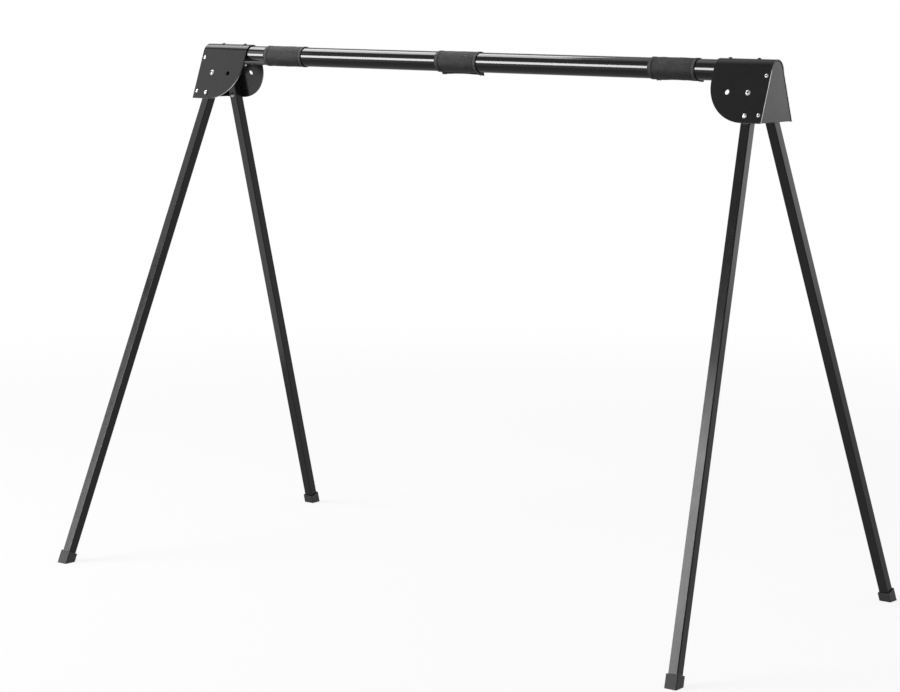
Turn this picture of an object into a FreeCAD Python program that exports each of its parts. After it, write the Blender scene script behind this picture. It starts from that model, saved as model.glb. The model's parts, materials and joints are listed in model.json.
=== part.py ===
import FreeCAD, Part
import math
import os

# Folding floor rack for bicycles. A round bar lies along X on two trestle ends, and saddles hook over it.
# Each end is a sheet bracket bent over the bar, with two splayed legs that fold up along the bar.
# Millimetres and degrees. The floor is Z = 0, below the middle of the bar, and the front is -Y.

# Bar
BAR_HEIGHT = 1062.0  # axis above the floor
BAR_DIAMETER = 40.0
BAR_WALL = 1.5
BAR_END_GAP = 3.0  # bar's end to the end panel's flanges
SPIGOT_WALL = 1.5
SPIGOT_REACH = 120.0  # into each half of the bar
SPIGOT_CLEARANCE = 0.08

# Brackets
BRACKET_SPAN = 1408.0  # outer edge to outer edge
BRACKET_LENGTH = 123.0  # along the bar
BRACKET_SHEET = 2.5
BRACKET_CLEARANCE = 0.1  # sheet to bar
SPLAY = 20.2  # plates and legs, from the vertical
CORNER_RADIUS = 80.0  # lower inboard corner of each plate
BRACKET_EDGE_RADIUS = 0.6  # cut edges, both faces

# Legs
LEG_SIDE = 20.0
LEG_WALL = 1.5
LEG_CORNER_RADIUS = 2.0
LEG_OVERRUN = 16.0  # above the pivot
LEG_LEAN = 4.9  # outwards, in the plane of the plate
FOLD_GAP = 19.0  # folded leg to bar
PIVOT_INSET = 39.5  # from the bracket's outer edge

# Foot caps
CAP_WALL = 2.6
CAP_HEIGHT = 23.0
CAP_CORNER_RADIUS = 2.0
CAP_RIM_RADIUS = 0.8
CAP_CLEARANCE = 0.1
SOLE = 10.0  # leg's end to the floor, along the leg

# Pivots
BOLT_DIAMETER = 6.0
BOLT_HEAD = 10.5
BOLT_HEAD_HEIGHT = 3.3
BOLT_HEAD_RIM = 0.8  # straight part of that height
BOLT_TAIL = 1.5  # past the nut
BOLT_CLEARANCE = 0.05
SOCKET_FLATS = 4.0
SOCKET_DEPTH = 2.0
NUT_FLATS = 10.0
NUT_HEIGHT = 6.0
NUT_CHAMFER = 30.0
WASHER_DIAMETER = 12.0
WASHER_THICKNESS = 1.6
SPACER_DIAMETER = 18.0
SPACER_THICKNESS = 1.0

# Leg locks
LOCK_REACH = 45.0  # from the pivot
LOCK_EDGE = 12.9  # below the lock, to the plate's lower edge
LOCK_DIAMETER = 9.0
LOCK_RISE = 4.0  # above the plate
LOCK_RIM = 2.0  # straight part of that rise
LOCK_CLEARANCE = 0.3  # in the leg
LOCK_PLATE_CLEARANCE = 0.5
LOCK_FLANGE = 1.5  # wider than the button all round
LOCK_FLANGE_HEIGHT = 1.0
SPRING_WIDTH = 10.0
SPRING_STRIP = 0.8
SPRING_ARM = 28.0  # from the lock to the bend

# End panels
PANEL_SHEET = 1.5
PANEL_RECESS = 1.0  # from the bracket's outer edge
PANEL_CLEARANCE = 0.1  # to the bracket's inside
PANEL_LIFT = 1.0  # lower edge above the bracket's
PANEL_BEND_RADIUS = 1.0  # round the outer face
FLANGE_WIDTH = 15.0
SCREW_DIAMETER = 4.0
SCREW_HEAD = 7.6
SCREW_HEAD_HEIGHT = 2.2
SCREW_HEAD_RIM = 0.55  # straight part of that height
SCREW_LENGTH = 7.5
SCREW_CLEARANCE = 0.1
SCREW_SOCKET = 2.5
SCREW_SOCKET_DEPTH = 1.3
SCREW_INSET = 8.0  # from the bracket's outer edge
SCREW_EDGE = 15.7  # lower screw above the plate's lower edge
SCREW_SPACING = 75.6
SCREW_TO_FLANGE_END = 6.5

# Bolts that hold each bracket to the bar, with the screws' heads
SADDLE_BOLT_INSETS = (39.5, 101.0)  # from the bracket's outer edge
SADDLE_NUT_FLATS = 7.0
SADDLE_NUT_HEIGHT = 3.2

# Soft wraps
WRAP_LEFT_GAP = 47.0  # left wrap to the left bracket
WRAP_RIGHT_GAP = 44.0  # right wrap to the right bracket
WRAP_MIDDLE_OFFSET = 24.0  # middle wrap's middle, to the left of the bar's
WRAP_LENGTH = 104.0
WRAP_THICKNESS = 0.9
WRAP_CLEARANCE = 0.2
SEAM_HEIGHT = 7.0  # beyond the wrap
SEAM_TURNS = {"left": 60.0, "middle": 20.0, "right": 33.0}  # from straight down, towards the back

# Worked out from the sizes above
BAR_RADIUS = BAR_DIAMETER / 2
BAR_BORE = BAR_RADIUS - BAR_WALL
BRACKET_BORE = BAR_RADIUS + BRACKET_CLEARANCE
BRACKET_RADIUS = BRACKET_BORE + BRACKET_SHEET
BRACKET_OUTER = BRACKET_SPAN / 2
BRACKET_INNER = BRACKET_OUTER - BRACKET_LENGTH
PANEL_OUTER = BRACKET_OUTER - PANEL_RECESS
PANEL_BORE = BRACKET_BORE - PANEL_CLEARANCE
BAR_END = PANEL_OUTER - FLANGE_WIDTH - BAR_END_GAP
PIVOT_X = BRACKET_OUTER - PIVOT_INSET
PIVOT_DROP = BAR_RADIUS + FOLD_GAP + LEG_SIDE / 2
PLATE_DROP = PIVOT_DROP + LOCK_REACH + LOCK_EDGE
LEG_OUTER = BRACKET_BORE - SPACER_THICKNESS
LEG_CENTRE = LEG_OUTER - LEG_SIDE / 2
LEG_INNER = LEG_OUTER - LEG_SIDE
FLOOR_DROP = (BAR_HEIGHT + LEG_CENTRE * math.sin(math.radians(SPLAY))) / math.cos(math.radians(SPLAY))
LEG_TO_FLOOR = (FLOOR_DROP - PIVOT_DROP) / math.cos(math.radians(LEG_LEAN))
LOCK_X = PIVOT_X + LOCK_REACH * math.sin(math.radians(LEG_LEAN))
LOCK_DROP = PIVOT_DROP + LOCK_REACH * math.cos(math.radians(LEG_LEAN))
LOCK_RADIUS = LOCK_DIAMETER / 2
BOLT_HOLE = BOLT_DIAMETER / 2 + BOLT_CLEARANCE
SADDLE_HOLE = SCREW_DIAMETER / 2 + BOLT_CLEARANCE
SCREW_X = BRACKET_OUTER - SCREW_INSET
SCREW_DROPS = (PLATE_DROP - SCREW_EDGE - SCREW_SPACING, PLATE_DROP - SCREW_EDGE)
WRAP_BORE = BAR_RADIUS + WRAP_CLEARANCE
WRAP_CENTRES = {
    "left": WRAP_LEFT_GAP + WRAP_LENGTH / 2 - BRACKET_INNER,
    "middle": -WRAP_MIDDLE_OFFSET,
    "right": BRACKET_INNER - WRAP_RIGHT_GAP - WRAP_LENGTH / 2,
}

SMOOTH_ANGLE = 20.0  # faces that meet at less run smoothly on
ORIGIN = FreeCAD.Vector(0, 0, 0)
X_AXIS = FreeCAD.Vector(1, 0, 0)
Y_AXIS = FreeCAD.Vector(0, 1, 0)
Z_AXIS = FreeCAD.Vector(0, 0, 1)
ENDS = {"left": -1, "right": 1}
SIDES = {"front": -1, "back": 1}


# Placing pieces. Each is drawn at the right front corner in a plumb frame, with the plate straight down.
# There the bar's axis is the X axis, a depth out from it is -Y and a drop below it is -Z.

def splay(shape):
    """Swing a piece from the plumb frame out to the front plate's slope, at the bar's height."""
    placed = shape.copy()
    placed.rotate(ORIGIN, X_AXIS, -SPLAY)
    placed.translate(Z_AXIS * BAR_HEIGHT)
    return placed


def to_corner(shape, end, side):
    """Mirror a placed piece from the right front corner to the corner asked for."""
    if ENDS[end] < 0:
        shape = shape.mirror(ORIGIN, X_AXIS)
    if SIDES[side] > 0:
        shape = shape.mirror(ORIGIN, Y_AXIS)
    return shape


def outwards(shape, x, drop, depth):
    """Turn a piece drawn up the Z axis to point out through the front plate, in the plumb frame."""
    turned = shape.copy()
    turned.rotate(ORIGIN, X_AXIS, 90)
    turned.translate(FreeCAD.Vector(x, -depth, -drop))
    return turned


def down_leg(shape):
    """Lean a piece drawn round the Z axis, pivot at the origin, into the leg's line in the plumb frame."""
    leaned = shape.copy()
    leaned.rotate(ORIGIN, Y_AXIS, -LEG_LEAN)
    leaned.translate(FreeCAD.Vector(PIVOT_X, -LEG_CENTRE, -PIVOT_DROP))
    return leaned


def drill(x, drop, radius):
    """A drill through plate and leg at the right front corner, in the plumb frame."""
    margin = BRACKET_SHEET
    start = LEG_INNER - margin
    length = BRACKET_RADIUS + margin - start
    return outwards(Part.makeCylinder(radius, length), x, drop, start)


# Shapes used by several pieces

def tube_along_bar(outer, inner, start, end):
    """A round tube on the bar's axis, from X = start to X = end."""
    length = end - start
    base = FreeCAD.Vector(start, 0, BAR_HEIGHT)
    return Part.makeCylinder(outer, length, base, X_AXIS).cut(Part.makeCylinder(inner, length, base, X_AXIS))


def square_post(side, corner_radius, bottom, top):
    """A square bar round the Z axis with rounded long edges."""
    post = Part.makeBox(side, side, top - bottom, FreeCAD.Vector(-side / 2, -side / 2, bottom))
    if corner_radius <= 0:
        return post
    long_edges = [e for e in post.Edges if abs(e.tangentAt(e.FirstParameter).z) > 0.99]
    return post.makeFillet(corner_radius, long_edges)


def hexagon(flats, bottom, top):
    """A hexagonal bar round the Z axis."""
    reach = flats / math.sqrt(3)
    angles = [math.radians(60 * i) for i in range(7)]
    corners = [FreeCAD.Vector(reach * math.cos(a), reach * math.sin(a), bottom) for a in angles]
    return Part.Face(Part.makePolygon(corners)).extrude(Z_AXIS * (top - bottom))


def dome(radius, height, rim):
    """A round boss on the Z axis: a straight rim from Z = 0, then a ball-shaped crown up to the height."""
    ball = (radius ** 2 + (height - rim) ** 2) / (2 * (height - rim))
    half = math.asin(radius / ball) / 2
    centre = FreeCAD.Vector(0, 0, 0)
    foot = FreeCAD.Vector(radius, 0, 0)
    shoulder = FreeCAD.Vector(radius, 0, rim)
    shoulder_side = FreeCAD.Vector(ball * math.sin(half), 0, height - ball + ball * math.cos(half))
    top = FreeCAD.Vector(0, 0, height)
    edges = [
        Part.LineSegment(centre, foot).toShape(),
        Part.LineSegment(foot, shoulder).toShape(),
        Part.Arc(shoulder, shoulder_side, top).toShape(),
        Part.LineSegment(top, centre).toShape(),
    ]
    return Part.Face(Part.Wire(edges)).revolve(ORIGIN, Z_AXIS, 360)


def socket_bolt(head, height, socket, socket_depth, diameter, length):
    """A bolt whose head stands on Z = 0, with a hexagon socket in its top and a shank that points down."""
    head = head.cut(hexagon(socket, height - socket_depth, height))
    return head.fuse(Part.makeCylinder(diameter / 2, length, FreeCAD.Vector(0, 0, -length))).removeSplitter()


def hex_nut(flats, height, bore):
    """A nut whose top face is Z = 0, with its corners turned down on both faces."""
    face_radius = flats / 2
    widest = face_radius + height / math.tan(math.radians(NUT_CHAMFER))
    upward = Part.makeCone(face_radius, widest, height, FreeCAD.Vector(0, 0, -height))
    downward = Part.makeCone(widest, face_radius, height, FreeCAD.Vector(0, 0, -height))
    hole = Part.makeCylinder(bore, height, FreeCAD.Vector(0, 0, -height))
    return hexagon(flats, -height, 0).common(upward).common(downward).cut(hole)


def ring(outer, inner, bottom, top):
    """A flat washer on the Z axis."""
    base = FreeCAD.Vector(0, 0, bottom)
    return Part.makeCylinder(outer, top - bottom, base).cut(Part.makeCylinder(inner, top - bottom, base))


# Bar

def bar_tube():
    """Right half of the bar, drilled for the two bolts that hold its bracket."""
    tube = tube_along_bar(BAR_RADIUS, BAR_BORE, 0, BAR_END)
    for inset in SADDLE_BOLT_INSETS:
        tube = tube.cut(saddle_drill(inset))
    return tube


def bar_spigot():
    """Inner tube, held in the left half of the bar, that slides into the right half."""
    outer = BAR_BORE - SPIGOT_CLEARANCE
    return tube_along_bar(outer, outer - SPIGOT_WALL, -SPIGOT_REACH, SPIGOT_REACH)


def wrap(place):
    """Soft sleeve round the bar, with its two edges pinched into a seam at the lower back."""
    start = WRAP_CENTRES[place] - WRAP_LENGTH / 2
    outer = WRAP_BORE + WRAP_THICKNESS
    sleeve = tube_along_bar(outer, WRAP_BORE, start, start + WRAP_LENGTH)
    root = WRAP_BORE + WRAP_THICKNESS / 2
    corner = FreeCAD.Vector(start, -WRAP_THICKNESS, -outer - SEAM_HEIGHT)
    seam = Part.makeBox(WRAP_LENGTH, 2 * WRAP_THICKNESS, outer + SEAM_HEIGHT - root, corner)
    seam.rotate(ORIGIN, X_AXIS, SEAM_TURNS[place])
    seam.translate(Z_AXIS * BAR_HEIGHT)
    return sleeve.fuse(seam).removeSplitter()


# Bracket, its end panel and its fasteners, at the right end

def slope_point(x, side, drop, depth):
    """The point at a drop down the plate on one side and a depth out from the bar's axis."""
    point = splay(Part.Vertex(x, -depth, -drop)).Point
    return FreeCAD.Vector(point.x, -SIDES[side] * point.y, point.z)


def arch(x, radius):
    """The arc over the bar's axis that joins the two slopes at one depth."""
    top = FreeCAD.Vector(x, 0, BAR_HEIGHT + radius)
    return Part.Arc(slope_point(x, "front", 0, radius), top, slope_point(x, "back", 0, radius)).toShape()


def line(start, end):
    """A straight edge."""
    return Part.LineSegment(start, end).toShape()


def bracket_sheet():
    """The bent sheet at its full length: front plate, arch over the bar and back plate."""
    x = BRACKET_INNER
    out_front, out_back = (slope_point(x, side, 0, BRACKET_RADIUS) for side in SIDES)
    in_front, in_back = (slope_point(x, side, 0, BRACKET_BORE) for side in SIDES)
    foot_out_front, foot_out_back = (slope_point(x, side, PLATE_DROP, BRACKET_RADIUS) for side in SIDES)
    foot_in_front, foot_in_back = (slope_point(x, side, PLATE_DROP, BRACKET_BORE) for side in SIDES)
    outline = Part.Wire([
        line(foot_out_front, out_front),
        arch(x, BRACKET_RADIUS),
        line(out_back, foot_out_back),
        line(foot_out_back, foot_in_back),
        line(foot_in_back, in_back),
        arch(x, BRACKET_BORE),
        line(in_front, foot_in_front),
        line(foot_in_front, foot_out_front),
    ])
    return Part.Face(outline).extrude(X_AXIS * BRACKET_LENGTH)


def is_sharp(shape, edge):
    """Whether the two faces at an edge meet at an angle."""
    middle = edge.valueAt((edge.FirstParameter + edge.LastParameter) / 2)
    faces = shape.ancestorsOfType(edge, Part.Face)
    one, other = (face.normalAt(*face.Surface.parameter(middle)) for face in faces)
    return abs(one.dot(other)) < math.cos(math.radians(SMOOTH_ANGLE))


def corner_waste():
    """What is cut from a plate to round its lower inboard corner, in the plumb frame."""
    margin = BRACKET_SHEET
    centre_x = BRACKET_INNER + CORNER_RADIUS
    centre_drop = PLATE_DROP - CORNER_RADIUS
    depth = BRACKET_BORE - margin
    width = CORNER_RADIUS + margin
    height = BRACKET_SHEET + 2 * margin
    square = Part.makeBox(width, width, height)
    quarter = outwards(square, centre_x - width, centre_drop + width, depth)
    disc = outwards(Part.makeCylinder(CORNER_RADIUS, height), centre_x, centre_drop, depth)
    return quarter.cut(disc)


def saddle_drill(inset):
    """A plumb drill through the bracket's top and the bar."""
    length = 2 * (BRACKET_RADIUS + BRACKET_SHEET)
    base = FreeCAD.Vector(BRACKET_OUTER - inset, 0, BAR_HEIGHT - length / 2)
    return Part.makeCylinder(SADDLE_HOLE, length, base)


def bracket():
    """Bent sheet with eased edges, and a pivot hole, two lock holes and two screw holes in each plate."""
    sheet = bracket_sheet()
    for side in SIDES:
        sheet = sheet.cut(to_corner(splay(corner_waste()), "right", side))
    eased = [e for e in sheet.Edges if e.Length > 2 * BRACKET_SHEET and is_sharp(sheet, e)]
    sheet = sheet.makeFillet(BRACKET_EDGE_RADIUS, eased)
    lock_hole = LOCK_RADIUS + LOCK_PLATE_CLEARANCE
    plate_holes = [
        drill(PIVOT_X, PIVOT_DROP, BOLT_HOLE),
        drill(LOCK_X, LOCK_DROP, lock_hole),
        drill(PIVOT_X - LOCK_REACH, PIVOT_DROP, lock_hole),
    ]
    plate_holes += [screw_drill(drop) for drop in SCREW_DROPS]
    for hole in plate_holes:
        for side in SIDES:
            sheet = sheet.cut(to_corner(splay(hole), "right", side))
    for inset in SADDLE_BOLT_INSETS:
        sheet = sheet.cut(saddle_drill(inset))
    return sheet


def screw_drill(drop):
    """A drill through the front plate and the panel's flange, in the plumb frame."""
    length = 2 * (BRACKET_SHEET + PANEL_SHEET)
    drilled = Part.makeCylinder(SCREW_DIAMETER / 2 + SCREW_CLEARANCE, length)
    return outwards(drilled, SCREW_X, drop, BRACKET_BORE - length / 2)


def end_panel():
    """Panel in the bracket's outer end, with a flange along each plate."""
    x = PANEL_OUTER - PANEL_SHEET
    drop = PLATE_DROP - PANEL_LIFT
    front, back = (slope_point(x, side, 0, PANEL_BORE) for side in SIDES)
    foot_front, foot_back = (slope_point(x, side, drop, PANEL_BORE) for side in SIDES)
    outline = Part.Wire([
        line(foot_front, front),
        arch(x, PANEL_BORE),
        line(back, foot_back),
        line(foot_back, foot_front),
    ])
    panel = Part.Face(outline).extrude(X_AXIS * PANEL_SHEET)
    outer_edges = [e for e in panel.Edges if e.CenterOfMass.x > PANEL_OUTER - PANEL_SHEET / 2]
    outer_edges = [e for e in outer_edges if is_sharp(panel, e) and e.Length > 2 * PANEL_SHEET]
    panel = panel.makeFillet(PANEL_BEND_RADIUS, outer_edges)
    top, bottom = SCREW_DROPS[0] - SCREW_TO_FLANGE_END, SCREW_DROPS[1] + SCREW_TO_FLANGE_END
    corner = FreeCAD.Vector(PANEL_OUTER - FLANGE_WIDTH, -PANEL_BORE, -bottom)
    flange = Part.makeBox(FLANGE_WIDTH, PANEL_SHEET, bottom - top, corner)
    for drop in SCREW_DROPS:
        flange = flange.cut(screw_drill(drop))
    for side in SIDES:
        panel = panel.fuse(to_corner(splay(flange), "right", side))
    return panel.removeSplitter()


def screw(length):
    """A small button-head screw of this length, its head on Z = 0."""
    head = dome(SCREW_HEAD / 2, SCREW_HEAD_HEIGHT, SCREW_HEAD_RIM)
    return socket_bolt(head, SCREW_HEAD_HEIGHT, SCREW_SOCKET, SCREW_SOCKET_DEPTH, SCREW_DIAMETER, length)


def panel_screws():
    """Two screws through each plate into the panel's flange."""
    seated = [splay(outwards(screw(SCREW_LENGTH), SCREW_X, drop, BRACKET_RADIUS)) for drop in SCREW_DROPS]
    return Part.makeCompound([to_corner(s, "right", side) for s in seated for side in SIDES])


def saddle_bolts():
    """The bolts down through bracket and bar, with their heads on the bracket's crown."""
    length = BRACKET_RADIUS + BAR_RADIUS + SADDLE_NUT_HEIGHT + BOLT_TAIL
    return along_saddle(screw(length), BAR_HEIGHT + BRACKET_RADIUS)


def saddle_nuts():
    """Their nuts, drawn up under the bar."""
    return along_saddle(hex_nut(SADDLE_NUT_FLATS, SADDLE_NUT_HEIGHT, SADDLE_HOLE), BAR_HEIGHT - BAR_RADIUS)


def along_saddle(shape, height):
    """A copy of a piece at each of the bracket's two plumb bolts."""
    copies = []
    for inset in SADDLE_BOLT_INSETS:
        copy = shape.copy()
        copy.translate(FreeCAD.Vector(BRACKET_OUTER - inset, 0, height))
        copies.append(copy)
    return Part.makeCompound(copies)


# Leg, foot, pivot and lock, at the right front corner

def leg():
    """Square tube with a hole through both walls for the pivot and for the lock."""
    end = SOLE - LEG_TO_FLOOR
    tube = square_post(LEG_SIDE, LEG_CORNER_RADIUS, end, LEG_OVERRUN)
    bore = square_post(LEG_SIDE - 2 * LEG_WALL, LEG_CORNER_RADIUS - LEG_WALL, end, LEG_OVERRUN)
    tube = down_leg(tube.cut(bore))
    tube = tube.cut(drill(PIVOT_X, PIVOT_DROP, BOLT_HOLE))
    return splay(tube.cut(drill(LOCK_X, LOCK_DROP, LOCK_RADIUS + LOCK_CLEARANCE)))


def foot_cap():
    """Cap pushed onto the leg's end, with its sole cut level with the floor."""
    below_floor = 2 * LEG_SIDE
    outside = LEG_SIDE + 2 * (CAP_WALL + CAP_CLEARANCE)
    top = CAP_HEIGHT - LEG_TO_FLOOR
    block = square_post(outside, CAP_CORNER_RADIUS, -LEG_TO_FLOOR - below_floor, top)
    block = block.makeFillet(CAP_RIM_RADIUS, [e for e in block.Edges if e.BoundBox.ZMin > top - CAP_WALL])
    pocket = square_post(LEG_SIDE + 2 * CAP_CLEARANCE, LEG_CORNER_RADIUS, SOLE - LEG_TO_FLOOR, LEG_OVERRUN)
    cap = splay(down_leg(block.cut(pocket)))
    reach = BRACKET_SPAN + 2 * BAR_HEIGHT
    return cap.cut(Part.makeBox(reach, reach, reach, FreeCAD.Vector(-reach / 2, -reach / 2, -reach)))


def pivot_bolt():
    """Button-head bolt through plate and leg, on which the leg turns."""
    grip = BRACKET_SHEET + SPACER_THICKNESS + LEG_SIDE + WASHER_THICKNESS + NUT_HEIGHT + BOLT_TAIL
    head = dome(BOLT_HEAD / 2, BOLT_HEAD_HEIGHT, BOLT_HEAD_RIM)
    bolt = socket_bolt(head, BOLT_HEAD_HEIGHT, SOCKET_FLATS, SOCKET_DEPTH, BOLT_DIAMETER, grip)
    return splay(outwards(bolt, PIVOT_X, PIVOT_DROP, BRACKET_RADIUS))


def pivot_spacer():
    """Slip washer between leg and plate."""
    spacer = ring(SPACER_DIAMETER / 2, BOLT_HOLE, 0, SPACER_THICKNESS)
    return splay(outwards(spacer, PIVOT_X, PIVOT_DROP, LEG_OUTER))


def pivot_washer():
    """Washer under the nut, on the leg's inner face."""
    washer = ring(WASHER_DIAMETER / 2, BOLT_HOLE, -WASHER_THICKNESS, 0)
    return splay(outwards(washer, PIVOT_X, PIVOT_DROP, LEG_INNER))


def pivot_nut():
    """Nut on the pivot bolt, drawn up to its washer."""
    nut = hex_nut(NUT_FLATS, NUT_HEIGHT, BOLT_HOLE)
    return splay(outwards(nut, PIVOT_X, PIVOT_DROP, LEG_INNER - WASHER_THICKNESS))


def lock_button():
    """Domed button through the leg's outer wall and the plate, with a flange behind the wall."""
    stem = LEG_WALL + SPACER_THICKNESS + BRACKET_SHEET
    button = dome(LOCK_RADIUS, stem + LOCK_RISE, stem + LOCK_RIM)
    seat = FreeCAD.Vector(0, 0, -LOCK_FLANGE_HEIGHT)
    flange = Part.makeCylinder(LOCK_RADIUS + LOCK_FLANGE, LOCK_FLANGE_HEIGHT, seat)
    return splay(outwards(button.fuse(flange).removeSplitter(), LOCK_X, LOCK_DROP, LEG_OUTER - LEG_WALL))


def lock_spring():
    """Hairpin strip in the leg: its outer arm pushes the button, its inner arm has a stud in the wall."""
    half_bore = LEG_SIDE / 2 - LEG_WALL
    bend_radius = half_bore - LOCK_FLANGE_HEIGHT / 2
    bend_level = -LOCK_REACH - SPRING_ARM
    bend_centre = FreeCAD.Vector(-SPRING_WIDTH / 2, LOCK_FLANGE_HEIGHT / 2, bend_level)
    arm_length = SPRING_ARM + SPRING_WIDTH / 2

    def hairpin(radius):
        arms = Part.makeBox(SPRING_WIDTH, 2 * radius, arm_length, bend_centre - Y_AXIS * radius)
        return arms.fuse(Part.makeCylinder(radius, SPRING_WIDTH, bend_centre, X_AXIS))

    strip = hairpin(bend_radius).cut(hairpin(bend_radius - SPRING_STRIP))
    stud = dome(LOCK_RADIUS, SPRING_STRIP + LEG_WALL + LOCK_RISE, SPRING_STRIP + LEG_WALL + LOCK_RIM)
    stud.rotate(ORIGIN, X_AXIS, -90)
    stud.translate(FreeCAD.Vector(0, half_bore - SPRING_STRIP, -LOCK_REACH))
    return splay(down_leg(strip.fuse(stud).removeSplitter()))


def build():
    """Every node of the rack by name."""
    nodes = {"bar_spigot": bar_spigot()}
    for place in WRAP_CENTRES:
        nodes[f"wrap_{place}"] = wrap(place)
    for make in (bar_tube, bracket, end_panel, panel_screws, saddle_bolts, saddle_nuts):
        right = make()
        for end in ENDS:
            nodes[f"{make.__name__}_{end}"] = to_corner(right, end, "front")
    for make in (leg, foot_cap, pivot_bolt, pivot_spacer, pivot_washer, pivot_nut, lock_button, lock_spring):
        right_front = make()
        for side in SIDES:
            for end in ENDS:
                nodes[f"{make.__name__}_{side}_{end}"] = to_corner(right_front, end, side)
    return nodes


os.makedirs("parts", exist_ok=True)
for node, shape in build().items():
    shape.exportStep(f"parts/{node}.step")
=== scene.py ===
import json
import math

import bmesh
import bpy
from mathutils import Euler, Matrix, Vector, noise


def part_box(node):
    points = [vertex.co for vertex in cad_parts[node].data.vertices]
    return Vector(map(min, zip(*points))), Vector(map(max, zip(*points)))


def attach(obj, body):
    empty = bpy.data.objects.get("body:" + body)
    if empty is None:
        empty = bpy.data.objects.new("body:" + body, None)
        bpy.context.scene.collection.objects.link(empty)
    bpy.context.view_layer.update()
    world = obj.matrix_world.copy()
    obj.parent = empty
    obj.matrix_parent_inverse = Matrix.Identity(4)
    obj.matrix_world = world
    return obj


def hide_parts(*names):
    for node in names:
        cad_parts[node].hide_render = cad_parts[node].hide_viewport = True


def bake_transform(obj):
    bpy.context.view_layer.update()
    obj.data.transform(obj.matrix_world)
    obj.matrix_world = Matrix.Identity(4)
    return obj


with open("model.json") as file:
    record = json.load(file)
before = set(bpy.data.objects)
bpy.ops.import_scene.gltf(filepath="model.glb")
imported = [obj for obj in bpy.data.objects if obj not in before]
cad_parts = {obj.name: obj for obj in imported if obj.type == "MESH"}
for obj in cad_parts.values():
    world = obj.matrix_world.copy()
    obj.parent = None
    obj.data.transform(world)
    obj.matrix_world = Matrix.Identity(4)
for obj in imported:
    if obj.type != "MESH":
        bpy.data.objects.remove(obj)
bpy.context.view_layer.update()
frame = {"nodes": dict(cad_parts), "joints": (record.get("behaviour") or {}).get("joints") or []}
nodes = frame["nodes"]

# Bar. Two lengths of round steel tube, butted over an inner spigot at the middle and sprayed gloss black.
# The lacquer is hard and clear, so it mirrors the lamps in long bands, over a trace of the drawn tube.
BAR_LOW, BAR_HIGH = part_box("bar_tube_left")
BAR_RADIUS = (BAR_HIGH.z - BAR_LOW.z) / 2
BAR_HEIGHT = (BAR_HIGH.z + BAR_LOW.z) / 2
LACQUER_BLACK = (0.0032, 0.0029, 0.0030, 1)
LACQUER_RUBBED = (0.0060, 0.0053, 0.0054, 1)
LACQUER_PEEL = 0.000006  # bump heights, in metres
DRAWN_LINES = 0.000002
DRAWN_ALONG = (0.004, 1, 1)  # stretch of the marks along the bar
RUBBED_ALONG = (0.3, 1, 1)
NOISE_LOW, NOISE_HIGH = 0.3, 0.7  # the range that most of a noise lies in


def add(tree, kind, inputs, **settings):
    """A new node: settings are its options, and inputs its sockets' values or the sockets that feed them."""
    made = tree.nodes.new(kind)
    for option, value in settings.items():
        setattr(made, option, value)
    for socket, value in inputs.items():
        if isinstance(value, bpy.types.NodeSocket):
            tree.links.new(value, made.inputs[socket])
        else:
            made.inputs[socket].default_value = value
    return made


def new_finish(name):
    """A new material, its node tree, its shader, and the coordinates of the piece that it is on."""
    material = bpy.data.materials.new(name)
    material.use_nodes = True
    tree = material.node_tree
    place = add(tree, "ShaderNodeTexCoord", {}).outputs["Object"]
    return material, tree, tree.nodes["Principled BSDF"], place


def grain(tree, place, per_metre, detail=2.0, stretch=(1, 1, 1)):
    """Cloudy noise from 0 to 1, with this many features to the metre, drawn out where stretch is small."""
    turned = add(tree, "ShaderNodeMapping", {"Vector": place, "Scale": stretch}).outputs["Vector"]
    cloud = {"Vector": turned, "Scale": per_metre, "Detail": detail}
    return add(tree, "ShaderNodeTexNoise", cloud).outputs["Fac"]


def ramp(tree, value, start, end, low=0.0, high=1.0, smooth=False):
    """A number that goes from low to high as a value goes from start to end."""
    limits = {"Value": value, "From Min": start, "From Max": end, "To Min": low, "To Max": high}
    course = "SMOOTHSTEP" if smooth else "LINEAR"
    return add(tree, "ShaderNodeMapRange", limits, interpolation_type=course).outputs["Result"]


def between(tree, amount, low, high):
    """A number that goes from low to high as the noise does."""
    return ramp(tree, amount, NOISE_LOW, NOISE_HIGH, low, high)


def blend_colours(tree, amount, low, high):
    """A colour that goes from low to high as the noise does."""
    colours = add(tree, "ShaderNodeValToRGB", {"Fac": amount})
    ends = colours.color_ramp.elements
    ends[0].position, ends[0].color = NOISE_LOW, low
    ends[1].position, ends[1].color = NOISE_HIGH, high
    return colours.outputs["Color"]


def raise_grain(tree, pattern, depth, under=None):
    """A normal bumped by a pattern of this depth, laid over another one where there is one."""
    inputs = {"Height": pattern, "Distance": depth}
    if under is not None:
        inputs["Normal"] = under
    return add(tree, "ShaderNodeBump", inputs).outputs["Normal"]


def feed(tree, shader, **sockets):
    """Sets the shader's sockets by name, with _ for a space, to values or to the sockets that feed them."""
    for name, value in sockets.items():
        socket = shader.inputs[name.replace("_", " ")]
        if isinstance(value, bpy.types.NodeSocket):
            tree.links.new(value, socket)
        else:
            socket.default_value = value


def coat_nodes(finish, *prefixes):
    """Gives a finish to every node whose name starts so."""
    for name, piece in nodes.items():
        if name.startswith(prefixes):
            piece.material_slots[0].material = finish


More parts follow.
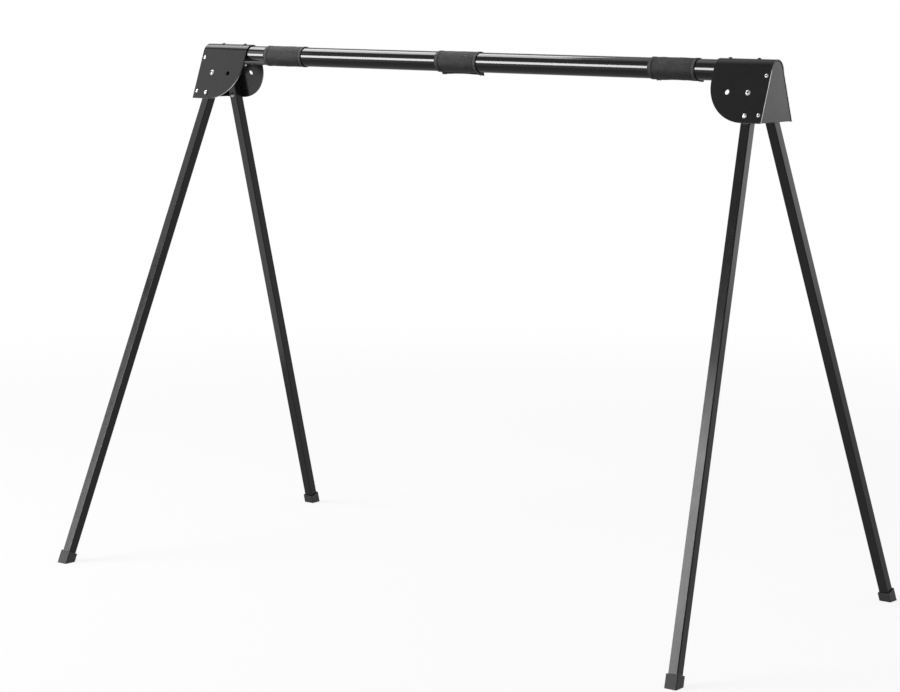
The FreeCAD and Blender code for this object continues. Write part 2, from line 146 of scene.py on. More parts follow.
def gloss_lacquer():
    """Sprayed gloss black over drawn tube."""
    material, tree, shader, place = new_finish("bar_gloss_lacquer")
    drawn = grain(tree, place, per_metre=300, stretch=DRAWN_ALONG)
    peel = grain(tree, place, per_metre=240)
    bumped = raise_grain(tree, drawn, DRAWN_LINES, raise_grain(tree, peel, LACQUER_PEEL))
    rubbed = grain(tree, place, per_metre=16, detail=6, stretch=RUBBED_ALONG)
    feed(
        tree, shader, Base_Color=blend_colours(tree, rubbed, LACQUER_BLACK, LACQUER_RUBBED),
        Roughness=between(tree, rubbed, 0.07, 0.12), Normal=bumped, Specular_IOR_Level=0.36,
    )
    return material


coat_nodes(gloss_lacquer(), "bar_tube")

# Spigot. A shorter tube that fits inside both halves of the bar and is pinned in the left one.
# It is bright zinc-plated steel, and shows only when the halves are drawn apart.
ZINC = (0.60, 0.61, 0.62, 1)
ZINC_DULL = (0.46, 0.47, 0.48, 1)
ZINC_SCUFFS = 0.000004
SCUFFS_ALONG = (1, 0.25, 1)


def bright_zinc(name):
    """Zinc plate: bright, a little cloudy, with fine scuffs; with the nodes that its colour comes from."""
    material, tree, shader, place = new_finish(name)
    cloud = grain(tree, place, per_metre=420, detail=3)
    scuff = grain(tree, place, per_metre=2600, stretch=SCUFFS_ALONG)
    colour = blend_colours(tree, cloud, ZINC_DULL, ZINC)
    feed(
        tree, shader, Base_Color=colour, Metallic=1.0,
        Roughness=between(tree, cloud, 0.30, 0.20), Normal=raise_grain(tree, scuff, ZINC_SCUFFS),
    )
    return material, tree, shader, place, colour


zinc = bright_zinc("bright_zinc")[0]
coat_nodes(zinc, "bar_spigot")

# Wraps. Three sleeves of woven nylon pad the bar where loads hang on it. Each is one hemmed strip, folded
# round the bar and sewn to itself below, so that its two edges stand out as a short fin towards the back.
CLOTH = 0.0008
CLOTH_CLEARANCE = 0.0002
CLOTH_LOWEST = -0.00025  # the most that the cloth is pressed in
CLOTH_BLACK = (0.0090, 0.0090, 0.0098, 1)
CLOTH_WORN = (0.0155, 0.0155, 0.0165, 1)
# the hems' pale band: partly wear, partly a painted highlight on the raised hem
HEM_WORN_AND_LIT = (0.040, 0.040, 0.042, 1)
# painted shade, at the sleeve's end and beside the stitches' groove
HEM_SHADE = (0.003, 0.003, 0.003, 1)
THREAD_BLACK = (0.012, 0.012, 0.013, 1)
SEAM_PART = math.radians(19)  # where the cloth leaves the bar, each side of the seam
SEAM_ROOT = 0.0025  # length of the turn from the bar into the fin
FIN_HEIGHT = 0.0072  # beyond the sleeve, at the hems
FIN_DRAWN_IN = 0.35  # share of that height that the seam takes up between them
FIN_LAYER = 0.52 * CLOTH  # from the seam to the middle of each layer
HEM = 0.0095
HEM_LIFT = 0.0006
HEM_STEP = (HEM - 0.0006, HEM + 0.0004)  # from the sleeve's end, where the doubled cloth ends
HEM_ROLL = 0.0009  # from the sleeve's end, where the cloth is turned in
HEM_STITCH = 0.0085  # from the sleeve's end
GROOVE = 0.0007  # depth that the stitches pull the cloth in
GROOVE_REACH = 0.0009
SHADE_LINES = (0.0, HEM_STITCH + 0.0008)  # from the sleeve's end, where shade is painted
SHADE_REACH = 0.0026
HEM_PALE_REACH = 0.4 * HEM
HEM_ROW = 0.0004  # steps of the cloth's mesh in its hems
ROWS_BEYOND_HEM = 3
MIDDLE_ROWS = 42
CREASE = 0.0005
CREASE_FULL = 2.5 * HEM  # from the sleeve's end
CREASE_LIFT = 0.5  # share of a crease that the loose cloth stands off
CREASES = ((1.0, 45, 0.11), (0.5, 130, 0.3))  # share, waves to the metre along the bar, to the point round it
WEAVE_PITCH = 0.0010
WEAVE_DEPTH = 0.00010
WAVE_TURN = 20  # radians to the metre in a wave texture of scale 1
FUZZ_DEPTH = 0.00004
STITCH_PITCH = 0.0040
STITCH_LENGTH = 0.0033
STITCH_SIDES, STITCH_RINGS = 8, 6
THREAD = 0.0007
THREAD_TWIST = 0.00005
SEAM_INSET = 0.03  # share of the sleeve's length, at each end of the fin's stitches
SEAM_STEPS = 40
WRAPS = {  # the body that each rides on, its tube, and the degrees to its seam from straight down, backwards
    "wrap_left": ("left_half", "bar_tube_left", 60),
    "wrap_middle": ("left_half", "bar_tube_left", 20),
    "wrap_right": ("right_half", "bar_tube_right", 33),
}
WRAP_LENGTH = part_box("wrap_left")[1].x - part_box("wrap_left")[0].x
SLEEVE_RADIUS = BAR_RADIUS + CLOTH_CLEARANCE + CLOTH / 2  # to the middle of the cloth
FIN_POINTS, TURN_POINTS, ROUND_POINTS = 6, 8, 80  # of the cloth, in the fin, its turn and round the bar


def sleeve_section(fin):
    """The cloth's line round the bar, as pairs of an (across, out) point and its outer side.

    It runs in along a fin of this height, round the bar and out along the fin again.
    """
    leave = Vector((SLEEVE_RADIUS * math.sin(SEAM_PART), SLEEVE_RADIUS * math.cos(SEAM_PART)))
    corner = Vector((FIN_LAYER, leave.y + (leave.x - FIN_LAYER) * math.tan(SEAM_PART)))
    start = corner + Vector((0, SEAM_ROOT))
    tip = Vector((FIN_LAYER, SLEEVE_RADIUS + fin))
    side = [tip.lerp(start, i / FIN_POINTS) for i in range(FIN_POINTS)]
    for i in range(TURN_POINTS):
        t = i / TURN_POINTS
        side.append(start.lerp(corner, t).lerp(corner.lerp(leave, t), t))
    step = 2 * (math.pi - SEAM_PART) / ROUND_POINTS
    turns = [SEAM_PART + step * i for i in range(ROUND_POINTS + 1)]
    around = [Vector((math.sin(a), math.cos(a))) * SLEEVE_RADIUS for a in turns]
    line = side + around + [Vector((-point.x, point.y)) for point in reversed(side)]
    section = []
    for before, point, after in zip(line[:1] + line, line, line[1:] + line[-1:]):
        along = (after - before).normalized()
        section.append((point, Vector((-along.y, along.x))))
    return section


def fin_height(share):
    """The fin's height at a share of the sleeve's length: it stands out at the hems and draws in between."""
    return FIN_HEIGHT * (1 - FIN_DRAWN_IN * (1 - (2 * share - 1) ** 2))


def cloth_point(x, spot, lift, turn):
    """A point of the cloth at this X, lifted off the cloth's middle, on a sleeve with its seam turned so."""
    point, outer_side = spot
    across, out = point + outer_side * lift
    return Matrix.Rotation(turn, 3, "X") @ Vector((x, across, -out)) + Vector((0, 0, BAR_HEIGHT))


def smooth_step(value, low, high):
    """From 0 at low to 1 at high, with no corners."""
    t = min(max((value - low) / (high - low), 0), 1)
    return t * t * (3 - 2 * t)


def cloth_lift(x, i, from_end, seed):
    """How far the cloth stands off the bar: doubled hems, the groove of their stitches, and soft creases."""
    hem = HEM_LIFT * (1 - smooth_step(from_end, *HEM_STEP))
    rolled = -HEM_LIFT * (1 - smooth_step(from_end, 0, HEM_ROLL)) ** 2
    groove = -GROOVE * math.exp(-((from_end - HEM_STITCH) / GROOVE_REACH) ** 2)
    loose = CREASE * smooth_step(from_end, HEM, CREASE_FULL)
    waves = [(share, Vector((x * along, i * around, seed))) for share, along, around in CREASES]
    crease = CREASE_LIFT + sum(share * noise.noise(spot) for share, spot in waves)
    return max(hem + rolled + groove + loose * crease, CLOTH_LOWEST)


def wrap_mesh(name, start, turn, seed):
    """One sleeve, with rows close together in its hems, and the girth of its cloth."""
    hem_count = math.ceil(HEM / HEM_ROW) + ROWS_BEYOND_HEM
    hem_rows = [i * HEM_ROW for i in range(hem_count)]
    between_hems = WRAP_LENGTH - 2 * hem_count * HEM_ROW
    middle_rows = [hem_count * HEM_ROW + between_hems * i / MIDDLE_ROWS for i in range(MIDDLE_ROWS + 1)]
    stations = hem_rows + middle_rows + [WRAP_LENGTH - d for d in reversed(hem_rows)]
    points, marks = [], []
    for distance in stations:
        from_end = min(distance, WRAP_LENGTH - distance)
        section = sleeve_section(fin_height(distance / WRAP_LENGTH))
        round_it = 0.0
        for i, spot in enumerate(section):
            round_it += (spot[0] - section[max(i - 1, 0)][0]).length
            lift = cloth_lift(start + distance, i, from_end, seed)
            points.append(cloth_point(start + distance, spot, lift, turn))
            marks.append((distance, round_it))
    width = len(section)
    faces = [
        (r * width + c, r * width + c + 1, (r + 1) * width + c + 1, (r + 1) * width + c)
        for r in range(len(stations) - 1) for c in range(width - 1)
    ]
    mesh = bpy.data.meshes.new(name)
    mesh.from_pydata(points, [], faces)
    threads = mesh.uv_layers.new(name="threads")
    for loop in mesh.loops:
        threads.data[loop.index].uv = marks[loop.vertex_index]
    mesh.shade_smooth()
    return mesh, round_it


def new_piece(name, mesh):
    """An object at the origin for a mesh."""
    piece = bpy.data.objects.new(name, mesh)
    bpy.context.scene.collection.objects.link(piece)
    return piece


def reckon(tree, operation, *values):
    """The result of an operation on numbers, or on the sockets that give them."""
    return add(tree, "ShaderNodeMath", dict(enumerate(values)), operation=operation).outputs["Value"]


def band(tree, value, middle, reach):
    """1 where a value is at the middle, down to 0 at this reach to each side."""
    away = reckon(tree, "ABSOLUTE", reckon(tree, "SUBTRACT", value, middle))
    return ramp(tree, away, 0.0, reach, 1.0, 0.0, smooth=True)


def paint_over(tree, amount, under, over):
    """One colour laid over another, by this amount."""
    colours = {"Factor": amount, "A": under, "B": over}
    return add(tree, "ShaderNodeMix", colours, data_type="RGBA").outputs["Result"]


def woven_nylon():
    """Plain-weave nylon: threads over and under each other, dull, rubbed paler in patches; its hems paler
    with wear and a painted highlight, with painted shade at their ends and stitches.
    """
    material, tree, shader, place = new_finish("woven_nylon")
    threads = add(tree, "ShaderNodeUVMap", {}, uv_map="threads").outputs["UV"]
    waves = {"Vector": threads, "Scale": 2 * math.pi / WEAVE_PITCH / WAVE_TURN, "Distortion": 0.0}
    course = {"wave_type": "BANDS", "wave_profile": "SIN"}
    warp = add(tree, "ShaderNodeTexWave", waves, bands_direction="X", **course).outputs["Fac"]
    weft = add(tree, "ShaderNodeTexWave", waves, bands_direction="Y", **course).outputs["Fac"]
    weave = reckon(tree, "ADD", warp, weft)
    wear = grain(tree, place, per_metre=70, detail=5)
    fuzz = grain(tree, place, per_metre=2200)
    bumped = raise_grain(tree, weave, WEAVE_DEPTH, raise_grain(tree, fuzz, FUZZ_DEPTH))
    along = add(tree, "ShaderNodeSeparateXYZ", {"Vector": threads}).outputs["X"]
    from_end = reckon(tree, "MINIMUM", along, reckon(tree, "SUBTRACT", WRAP_LENGTH, along))
    colour = blend_colours(tree, wear, CLOTH_BLACK, CLOTH_WORN)
    # a pale band on each hem: wear with a painted highlight
    colour = paint_over(tree, band(tree, from_end, HEM / 2, HEM_PALE_REACH), colour, HEM_WORN_AND_LIT)
    # painted shade lines, at the sleeve's end and beside the stitches' groove
    for line in SHADE_LINES:
        colour = paint_over(tree, band(tree, from_end, line, SHADE_REACH), colour, HEM_SHADE)
    feed(
        tree, shader, Base_Color=colour, Specular_IOR_Level=0.2, Normal=bumped,
        Roughness=between(tree, weave, 0.64, 0.52), Sheen_Weight=0.02, Sheen_Roughness=0.4,
    )
    return material


def sewing_thread():
    """Twisted polyester thread."""
    material, tree, shader, place = new_finish("sewing_thread")
    twist = grain(tree, place, per_metre=3000)
    feed(
        tree, shader, Base_Color=THREAD_BLACK, Roughness=between(tree, twist, 0.6, 0.8),
        Normal=raise_grain(tree, twist, THREAD_TWIST),
    )
    return material


def node_group(name, *sizes):
    """A Geometry Nodes tree with a Geometry input and these named sizes."""
    tree = bpy.data.node_groups.new(name, "GeometryNodeTree")
    tree.interface.new_socket("Geometry", in_out="INPUT", socket_type="NodeSocketGeometry")
    for size in sizes:
        tree.interface.new_socket(size, in_out="INPUT", socket_type="NodeSocketFloat")
    tree.interface.new_socket("Geometry", in_out="OUTPUT", socket_type="NodeSocketGeometry")
    return tree, tree.nodes.new("NodeGroupInput").outputs


def close_group(tree, geometry, material):
    """Ends a tree: real meshes with their material."""
    real = add(tree, "GeometryNodeRealizeInstances", {"Geometry": geometry}).outputs["Geometry"]
    covered = add(tree, "GeometryNodeSetMaterial", {"Geometry": real, "Material": material})
    add(tree, "NodeGroupOutput", {"Geometry": covered.outputs["Geometry"]})


def run_group(piece, tree, sizes):
    """Turns a piece into the plain mesh that a tree makes of it."""
    modifier = piece.modifiers.new("made", "NODES")
    modifier.node_group = tree
    for item in tree.interface.items_tree:
        if item.in_out == "INPUT" and item.name in sizes:
            modifier[item.identifier] = sizes[item.name]
    made = piece.evaluated_get(bpy.context.evaluated_depsgraph_get())
    piece.data = bpy.data.meshes.new_from_object(made)
    piece.modifiers.remove(modifier)


def stitch_tree(material):
    """Stitches laid end to end along the lines of a mesh of edges."""
    tree, sizes = node_group("stitches", "Pitch", "Length", "Thread")
    lines = add(tree, "GeometryNodeMeshToCurve", {"Mesh": sizes["Geometry"]}).outputs["Curve"]
    spaced = add(tree, "GeometryNodeResampleCurve", {"Curve": lines, "Length": sizes["Pitch"]}, mode="LENGTH")
    round_ball = {"Segments": STITCH_SIDES, "Rings": STITCH_RINGS, "Radius": 0.5}
    ball = add(tree, "GeometryNodeMeshUVSphere", round_ball).outputs["Mesh"]
    spans = {"X": sizes["Length"], "Y": sizes["Thread"], "Z": sizes["Thread"]}
    shape = add(tree, "ShaderNodeCombineXYZ", spans).outputs["Vector"]
    stitch = add(tree, "GeometryNodeTransform", {"Geometry": ball, "Scale": shape}).outputs["Geometry"]
    run = add(tree, "GeometryNodeInputTangent", {}).outputs["Tangent"]
    turned = add(tree, "FunctionNodeAlignRotationToVector", {"Vector": run}, axis="X").outputs["Rotation"]
    sewn = {"Points": spaced.outputs["Curve"], "Instance": stitch, "Rotation": turned}
    close_group(tree, add(tree, "GeometryNodeInstanceOnPoints", sewn).outputs["Instances"], material)
    return tree


def stitch_lines(name, start, turn):
    """The rows of one wrap: round each hem in its groove, and along both sides of the fin, near its root."""
    on_top = CLOTH / 2 + THREAD / 4
    section = sleeve_section(FIN_HEIGHT)
    rows = [
        [cloth_point(start + distance, spot, on_top, turn) for spot in section]
        for distance in (HEM_STITCH, WRAP_LENGTH - HEM_STITCH)
    ]
    shares = [SEAM_INSET + (1 - 2 * SEAM_INSET) * i / SEAM_STEPS for i in range(SEAM_STEPS + 1)]
    for i in (FIN_POINTS - 2, 1 - FIN_POINTS):
        spots = [(share * WRAP_LENGTH, sleeve_section(fin_height(share))[i]) for share in shares]
        rows.append([cloth_point(start + distance, spot, on_top, turn) for distance, spot in spots])
    points, edges = [], []
    for row in rows:
        edges += [(len(points) + k, len(points) + k + 1) for k in range(len(row) - 1)]
        points += row
    mesh = bpy.data.meshes.new(name)
    mesh.from_pydata(points, edges, [])
    return mesh


nylon = woven_nylon()
sewing = stitch_tree(sewing_thread())
stitch_sizes = {"Pitch": STITCH_PITCH, "Length": STITCH_LENGTH, "Thread": THREAD}
for seed, (wrap, (body, tube, seam)) in enumerate(WRAPS.items()):
    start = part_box(wrap)[0].x
    turn = math.radians(seam)
    mesh, girth = wrap_mesh(wrap + "_cloth", start, turn, seed)
    mesh.materials.append(nylon)
    sleeve = new_piece(wrap + "_cloth", mesh)
    thick = sleeve.modifiers.new("cloth", "SOLIDIFY")
    thick.thickness, thick.offset = CLOTH, 0
    stitches = new_piece(wrap + "_stitches", stitch_lines(wrap + "_stitches", start, turn))
    run_group(stitches, sewing, stitch_sizes)
    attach(sleeve, body)
    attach(stitches, body)
    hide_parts(wrap)

# Brackets. Each is one sheet of steel, cut, drilled and bent over the bar's end, with powder coat baked on.
# The coat is satin, with a fine orange peel. It is rubbed off the cut edges that look down or end the sheet.
COAT_BLACK = (0.0078, 0.0074, 0.0076, 1)
COAT_SPECKLE = (0.0125, 0.0118, 0.0120, 1)
COAT_PEEL = 0.000024
COAT_GRAIN = 0.000008
CUT_STEEL = (0.66, 0.65, 0.64, 1)
BEND_END = 0.007  # above the bar's axis, where the bend and its whole coat end
OUTER_EDGE = 0.010  # length of the bracket, from its outer end, with a half rubbed edge
OUTER_RUBBED = 0.62
RUBBED_LEAST = 0.7  # share of bare steel in the patches that keep most coat
LOOKS_DOWN = (-0.25, -0.50)  # Z of a normal, from not rubbed to rubbed
CUT_EDGE = (0.55, 0.80)  # part of a normal that lies along the plate, from a face to a cut edge
BRACKET_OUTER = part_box("bracket_right")[1].x
LOCK_REACH = 0.045  # from a leg's pivot to both of its lock holes
LOCK_HOLE = 0.0050  # radius
fold = next(joint for joint in frame["joints"] if joint["name"] == "fold_front_right")
PIVOT = Vector(abs(c) for c in fold["pos_m"])  # in the quarter where X and Y count as positive
PLATE_OUT = Vector(abs(c) for c in fold["axis"])
OPEN_HOLE = PIVOT - Vector((LOCK_REACH, 0, 0))


def powder_coat(name):
    """Satin black powder coat, with the nodes that its colour comes from."""
    material, tree, shader, place = new_finish(name)
    peel = grain(tree, place, per_metre=420)
    fine = grain(tree, place, per_metre=1700, detail=3)
    cloud = grain(tree, place, per_metre=28, detail=5)
    bumped = raise_grain(tree, fine, COAT_GRAIN, raise_grain(tree, peel, COAT_PEEL))
    colour = blend_colours(tree, fine, COAT_BLACK, COAT_SPECKLE)
    roughness = between(tree, cloud, 0.15, 0.20)
    feed(tree, shader, Base_Color=colour, Roughness=roughness, Normal=bumped, Specular_IOR_Level=0.15)
    return material, tree, shader, place, colour


def reckon_vector(tree, operation, *vectors):
    """The result of an operation on vectors, or on the sockets that give them."""
    made = add(tree, "ShaderNodeVectorMath", dict(enumerate(vectors)), operation=operation)
    return made.outputs["Value" if operation == "LENGTH" else "Vector"]


def along_plate(tree, vector, spot=(0, 0, 0)):
    """How far a vector reaches along the plate, from a spot on it; all four plates count as one."""
    off = reckon_vector(tree, "SUBTRACT", reckon_vector(tree, "ABSOLUTE", vector), spot)
    return reckon_vector(tree, "LENGTH", reckon_vector(tree, "CROSS_PRODUCT", off, PLATE_OUT))


def cut_edged_coat():
    """The coat of the brackets, rubbed off the plates' cut edges that look down or are at the outer end."""
    material, tree, shader, place, colour = powder_coat("bracket_coat")
    facing = add(tree, "ShaderNodeTexCoord", {}).outputs["Normal"]
    up = add(tree, "ShaderNodeSeparateXYZ", {"Vector": facing}).outputs["Z"]
    at = add(tree, "ShaderNodeSeparateXYZ", {"Vector": place}).outputs
    along = reckon(tree, "ABSOLUTE", at["X"])
    outer = ramp(tree, along, BRACKET_OUTER - OUTER_EDGE, BRACKET_OUTER - OUTER_EDGE / 2)
    down = ramp(tree, up, *LOOKS_DOWN)
    bare = reckon(tree, "MAXIMUM", reckon(tree, "MULTIPLY", outer, OUTER_RUBBED), down)
    for share in (
        between(tree, grain(tree, place, per_metre=120, detail=4), RUBBED_LEAST, 1.0),
        ramp(tree, along_plate(tree, facing), *CUT_EDGE),
        ramp(tree, at["Z"], BAR_HEIGHT + BEND_END, BAR_HEIGHT),
        ramp(tree, along_plate(tree, place, OPEN_HOLE), LOCK_HOLE, 2 * LOCK_HOLE),
    ):
        bare = reckon(tree, "MULTIPLY", bare, share)
    feed(tree, shader, Base_Color=paint_over(tree, bare, colour, CUT_STEEL), Metallic=bare)
    return material


coat_nodes(cut_edged_coat(), "bracket")

# Legs and end panels. The legs are square steel tubes with rounded corners, and the panels bent sheet.
# They are powder coated like the brackets, before they are put together.
coat_nodes(powder_coat("leg_coat")[0], "leg", "end_panel")

# Bracket bolts. Two black button-head bolts go down through each bracket and the bar, with zinc nuts below.
# The oxide finish is dark and a little oily.
OXIDE_BLACK = (0.014, 0.014, 0.015, 1)
OXIDE_WORN = (0.035, 0.034, 0.033, 1)
OXIDE_GRAIN = 0.00001


def black_oxide():
    """Black oxide on steel."""
    material, tree, shader, place = new_finish("black_oxide")
    cloud = grain(tree, place, per_metre=500, detail=4)
    feed(
        tree, shader, Base_Color=blend_colours(tree, cloud, OXIDE_BLACK, OXIDE_WORN), Metallic=0.4,
        Roughness=between(tree, cloud, 0.30, 0.42), Normal=raise_grain(tree, cloud, OXIDE_GRAIN),
    )
    return material


coat_nodes(black_oxide(), "saddle_bolts")
coat_nodes(zinc, "saddle_nuts")

# Pivot bolts and panel screws. Zinc-plated button heads with sockets: a large one on each leg's pivot, with
# its washer and nut inside, and two small ones that hold each plate to the end panel.
# Their sockets are painted dark: painted shade, with some grime.
SOCKET_SHADE_AND_GRIME = (0.020, 0.019, 0.018, 1)
SOCKET_DARK_EDGE = (1.05, 0.90)  # in socket radii, from clean to painted dark
PIVOT_SOCKET = 0.0023  # radii
SCREW_SOCKET = 0.0015
SCREW_BEYOND = 0.0315  # along the bar, from the pivot
SCREW_DROPS = (-0.0334, 0.0422)  # down the plate, from the pivot
PLATE_DOWN = Vector((0, PLATE_OUT.z, -PLATE_OUT.y))


def socket_zinc(name, radius, *spots):
    """Zinc plate on heads at these spots, painted dark inside their sockets, as shade with some grime."""
    material, tree, shader, place, colour = bright_zinc(name)
    away = [along_plate(tree, place, spot) for spot in spots]
    nearest = away[0]
    for other in away[1:]:
        nearest = reckon(tree, "MINIMUM", nearest, other)
    # painted shade, with some grime, darkens the inside of each socket
    inside = ramp(tree, nearest, *(radius * share for share in SOCKET_DARK_EDGE))
    feed(tree, shader, Base_Color=paint_over(tree, inside, colour, SOCKET_SHADE_AND_GRIME))
    return material


screw_spots = [PIVOT + Vector((SCREW_BEYOND, 0, 0)) + PLATE_DOWN * drop for drop in SCREW_DROPS]
coat_nodes(socket_zinc("pivot_zinc", PIVOT_SOCKET, PIVOT), "pivot_bolt")
coat_nodes(socket_zinc("screw_zinc", SCREW_SOCKET, *screw_spots), "panel_screws")
coat_nodes(zinc, "pivot_nut", "pivot_washer")

# Foot caps. A soft black moulded cap is pushed onto each leg, with its sole cut to stand flat on the floor.
# It has the fine spark grain of its mould.
CAP_BLACK = (0.014, 0.014, 0.015, 1)
CAP_SCUFFED = (0.025, 0.025, 0.026, 1)
CAP_GRAIN = 0.00003


def moulded_cap():
    """Soft moulded plastic with a spark grain."""
    material, tree, shader, place = new_finish("moulded_cap")
    spark = grain(tree, place, per_metre=1300, detail=3)
    scuff = grain(tree, place, per_metre=90, detail=6)
    feed(
        tree, shader, Base_Color=blend_colours(tree, scuff, CAP_BLACK, CAP_SCUFFED),
        Roughness=between(tree, spark, 0.50, 0.66), Normal=raise_grain(tree, spark, CAP_GRAIN),
        Specular_IOR_Level=0.3,
    )
    return material


coat_nodes(moulded_cap(), "foot_cap")

# Slip washers. A thin white nylon ring lies on each pivot bolt, between the leg and its plate.
# It lets the leg turn without rubbing the coat.
NYLON_PALE = (0.55, 0.54, 0.50, 1)
NYLON_DULL = (0.42, 0.41, 0.38, 1)


def slip_nylon():
    """Turned nylon, a little waxy."""
    material, tree, shader, place = new_finish("slip_nylon")
    cloud = grain(tree, place, per_metre=600)
    feed(
        tree, shader, Base_Color=blend_colours(tree, cloud, NYLON_DULL, NYLON_PALE),
        Roughness=between(tree, cloud, 0.40, 0.55), Subsurface_Weight=0.1,
    )
    return material


coat_nodes(slip_nylon(), "pivot_spacer")

# Locks. A zinc-plated button comes out through each leg and its plate, on a hairpin of blued spring strip
# that sits in the leg with a stud in its inner wall. The outer arm gives with the button, so the hairpin
# closes between the two when the button is pressed.
SPRING_BLUE = (0.22, 0.23, 0.25, 1)
SPRING_STRAW = (0.34, 0.32, 0.28, 1)
STRIP = 0.0008
STRIP_CORNER = math.radians(30)  # a sharper turn than this is an edge of the strip


def spring_strip():
    """Tempered spring steel."""
    material, tree, shader, place = new_finish("spring_strip")
    cloud = grain(tree, place, per_metre=150, detail=3)
    feed(
        tree, shader, Base_Color=blend_colours(tree, cloud, SPRING_BLUE, SPRING_STRAW), Metallic=1.0,
        Roughness=between(tree, cloud, 0.22, 0.34),
    )
    return material


def hairpin_mesh(name, node):
    """A copy of a node's mesh, with its loose triangles joined."""
    joined = bmesh.new()
    joined.from_mesh(node.data)
    bmesh.ops.remove_doubles(joined, verts=joined.verts, dist=STRIP / 100)
    mesh = bpy.data.meshes.new(name)
    joined.to_mesh(mesh)
    joined.free()
    mesh.shade_smooth()
    mesh.set_sharp_from_angle(angle=STRIP_CORNER)
    return mesh


coat_nodes(zinc, "lock_button")
blued_strip = spring_strip()
coat_nodes(blued_strip, "lock_spring")
for joint in frame["joints"]:
    if joint["name"].startswith("press"):
        spring = joint["name"].replace("press", "lock_spring")
        mesh = hairpin_mesh(spring + "_hairpin", nodes[spring])
        mesh.materials.append(blued_strip)
        hairpin = new_piece(spring + "_hairpin", mesh)
        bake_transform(hairpin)
        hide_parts(spring)

# Floor. A pale seamless sheet of paper lies flat under the feet.
# It runs out to white, so that only the soft shadow of the feet is left on it.
FLOOR_REACH = 7.0
FLOOR_PALE = (0.86, 0.86, 0.86, 1)
FLOOR_LIFT = 0.84  # share of plain white near the feet
FADE_START, FADE_END = 1.6, 4.2  # from the middle of the floor
WHITE = (1, 1, 1, 1)


def seen_directly(tree):
    """1 for a ray that shows the background: from the camera, or off metal or through glass."""
    path = add(tree, "ShaderNodeLightPath", {}).outputs
    seen = path["Is Camera Ray"]
    for other in ("Is Glossy Ray", "Is Transmission Ray"):
        seen = reckon(tree, "MAXIMUM", seen, path[other])
    return seen


def seamless_floor():
    """Matt white paper, paler with distance where it is seen."""
    material, tree, shader, place = new_finish("seamless_floor")
    tree.nodes.remove(shader)
    away = reckon_vector(tree, "LENGTH", place)
    fade = ramp(tree, away, FADE_START, FADE_END, FLOOR_LIFT, 1.0, smooth=True)
    share = reckon(tree, "MULTIPLY", fade, seen_directly(tree))
    paper = add(tree, "ShaderNodeBsdfDiffuse", {"Color": FLOOR_PALE}).outputs["BSDF"]
    white = add(tree, "ShaderNodeEmission", {"Color": WHITE, "Strength": 1.0}).outputs["Emission"]
    mixed = add(tree, "ShaderNodeMixShader", {"Fac": share, 1: paper, 2: white}).outputs["Shader"]
    tree.links.new(mixed, tree.nodes["Material Output"].inputs["Surface"])
    return material


def flat_sheet(name, low, high, level, material):
    """A level rectangle between two corners."""
    mesh = bpy.data.meshes.new(name)
    corners = (low, (high[0], low[1]), high, (low[0], high[1]))
    mesh.from_pydata([(x, y, level) for x, y in corners], [], [(0, 1, 2, 3)])
    mesh.materials.append(material)
    return new_piece(name, mesh)


floor = flat_sheet("floor", (-FLOOR_REACH, -FLOOR_REACH), (FLOOR_REACH, FLOOR_REACH), 0, seamless_floor())

# Light. A white surround with a duller ceiling, a soft key lamp for shading, a grey card under the bar, and
# panels that only gloss shows: a window in front on the left, one by the left end, three side by side over
# that end and the bar's left half, one on the floor on the left, and one far behind.
SURROUND = 0.55  # level that the surround lights at
CEILING = 0.50  # level overhead, as gloss shows it
HORIZON_END, CEILING_START = 0.15, 0.65  # how far up the white fades, as the height of a ray
CARD_GREY = 0.5
CARD_DROP = 0.04
CARD_REACH = 0.56
CARD_FRONT, CARD_BACK = -0.12, 0.45
UP, DOWN = (0.001, 0, 1), (0.001, 0, -1)  # with the width of a lamp's face across the bar
KEY = ((-2.5, -2.5, 3.6), (2.5, 2.5, -3.0), 2.2, 2.2, 10.0)  # middle, facing, width, height and level
PANELS = {
    "window": ((-2.65, -3.6, 1.66), (0, 1, 0), 2.9, 1.50, 23.0),
    "panel_by_end": ((-1.365, -0.518, 1.315), (0.676, 0.584, -0.449), 0.48, 0.75, 2.4),
    "panel_over_crown": ((-2.36, 0.35, 2.80), DOWN, 1.30, 0.46, 7.0),
    "panel_over_bar": ((-1.54, 0.27, 2.80), DOWN, 1.45, 1.18, 8.5),
    "panel_over_end": ((-0.64, 0.27, 2.80), DOWN, 1.45, 0.68, 1.0),
    "panel_on_floor": ((-1.75, -0.65, 0.01), UP, 1.3, 1.3, 1.8),
    "panel_behind": ((4.1, 10.0, 1.72), (0, -1, 0), 11.0, 3.1, 2.15),
}


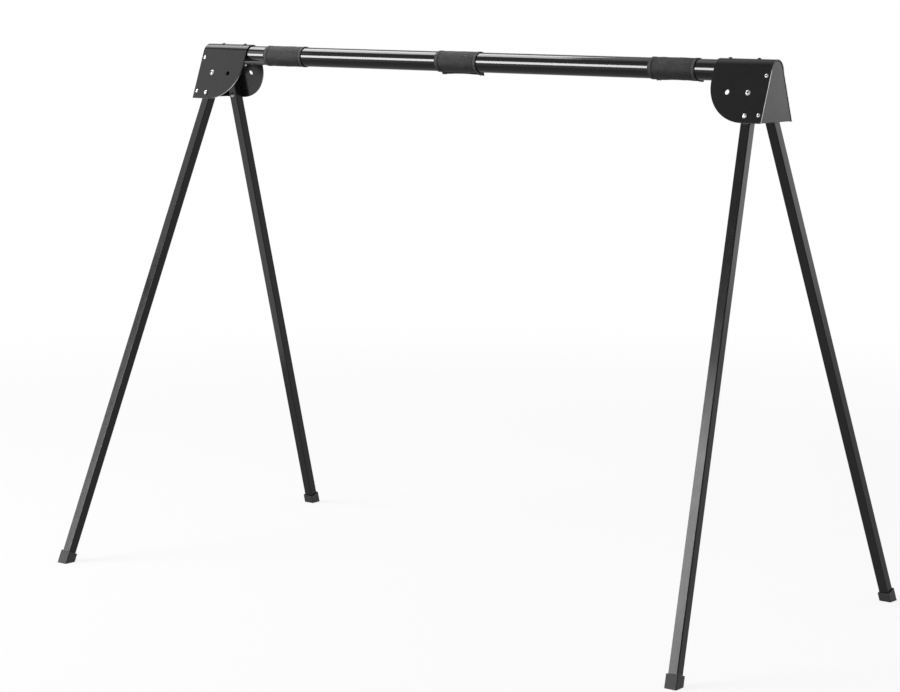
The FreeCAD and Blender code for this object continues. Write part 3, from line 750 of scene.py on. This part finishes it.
def white_surround():
    """White round the horizon where it is seen, and a plain soft level of light from all round."""
    world = bpy.data.worlds.new("studio")
    world.use_nodes = True
    tree = world.node_tree
    ray = add(tree, "ShaderNodeTexCoord", {}).outputs["Generated"]
    height = add(tree, "ShaderNodeSeparateXYZ", {"Vector": ray}).outputs["Z"]
    shown = ramp(tree, height, HORIZON_END, CEILING_START, 1.0, CEILING, smooth=True)
    background = tree.nodes["Background"]
    background.inputs["Color"].default_value = WHITE
    tree.links.new(ramp(tree, seen_directly(tree), 0.0, 1.0, SURROUND, shown), background.inputs["Strength"])
    bpy.context.scene.world = world


def card_grey():
    """An even grey that no light changes."""
    material, tree, shader = new_finish("grey_card")[:3]
    feed(
        tree, shader, Base_Color=(0, 0, 0, 1), Specular_IOR_Level=0.0,
        Emission_Color=WHITE, Emission_Strength=CARD_GREY,
    )
    return material


def softbox(name, middle, facing, width, height, level):
    """A lamp whose face, as bright as this many white papers, looks along a direction; its width is level."""
    lamp = bpy.data.lights.new(name, "AREA")
    lamp.shape = "RECTANGLE"
    lamp.size, lamp.size_y = width, height
    lamp.energy = level * math.pi * width * height
    box = bpy.data.objects.new(name, lamp)
    turn = Vector(facing).to_track_quat("-Z", "Y").to_matrix().to_4x4()
    box.matrix_world = Matrix.Translation(middle) @ turn
    box.visible_camera = False
    bpy.context.scene.collection.objects.link(box)
    return box


white_surround()
card_level = BAR_HEIGHT - BAR_RADIUS - CARD_DROP  # so the bar's lower side mirrors grey, and no floor
card = flat_sheet("card", (-CARD_REACH, CARD_FRONT), (CARD_REACH, CARD_BACK), card_level, card_grey())
card.visible_camera = card.visible_diffuse = card.visible_shadow = card.visible_transmission = False
softbox("key", *KEY).visible_glossy = False
for name, panel in PANELS.items():
    softbox(name, *panel).visible_diffuse = False

# Camera. It stands off the right-hand end in front, at about eye level, with a long lens.
# It looks a little down, with the whole object in view.
LENS = 99.822
SENSOR = 36
EYE = Vector((3.01200, -4.01263, 1.22329))
HEADING = math.radians(37.3084)  # round from straight ahead, towards the left
DIP = math.radians(8.3335)
TILT = 0.0070  # radians

camera_data = bpy.data.cameras.new("camera")
camera_data.lens = LENS
camera_data.sensor_width = SENSOR
camera = bpy.data.objects.new("camera", camera_data)
turn = Euler((math.pi / 2 - DIP, 0, HEADING)).to_matrix() @ Matrix.Rotation(TILT, 3, "Z")
camera.matrix_world = Matrix.Translation(EYE) @ turn.to_4x4()
bpy.context.scene.collection.objects.link(camera)
bpy.context.scene.camera = camera
bpy.context.scene.view_settings.view_transform = "Standard"
